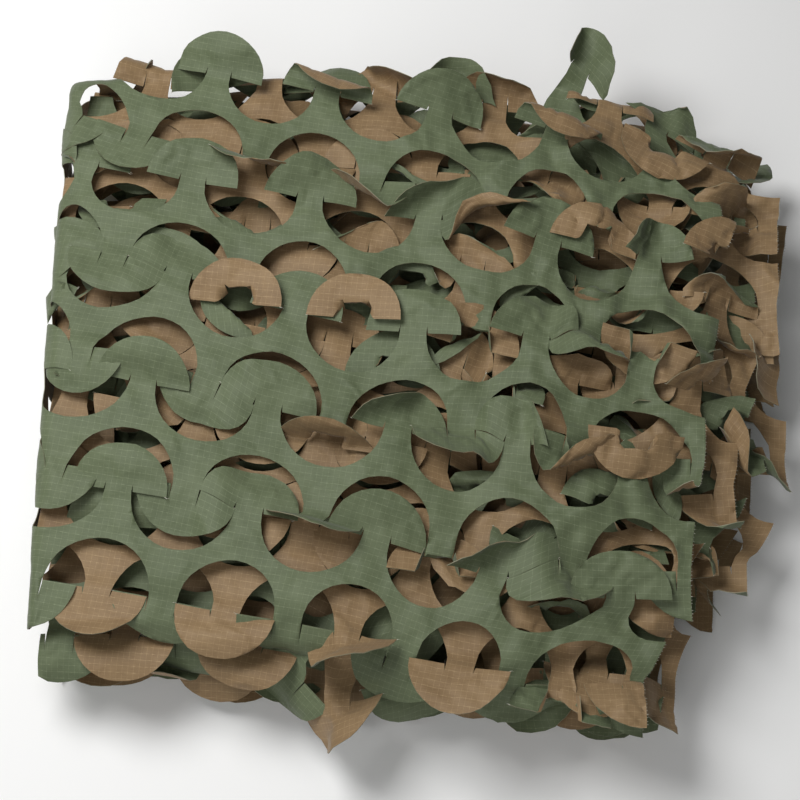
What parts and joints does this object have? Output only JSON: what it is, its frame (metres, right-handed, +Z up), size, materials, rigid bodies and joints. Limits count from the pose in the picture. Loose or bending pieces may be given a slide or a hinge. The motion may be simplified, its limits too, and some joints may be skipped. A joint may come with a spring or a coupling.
{
  "type": "camouflage net",
  "caption": "Leaf-cut camouflage net, green on one face and brown on the other, folded back and forth into a square pack that lies flat.",
  "frame": {"origin": "middle of the pack's footprint, on the surface it lies on", "axes": "+Z up, +X to the pack's right along the leaf rows, +Y to the back; the fold of the top layer faces -Y"},
  "size_m": [0.6, 0.5733, 0.106],
  "materials": {
    "net_cloth": "matt coated ripstop cloth, olive green on one face and earth brown on the other"
  },
  "bodies": {
    "root": {"net": "net_cloth"}
  },
  "joints": []
}
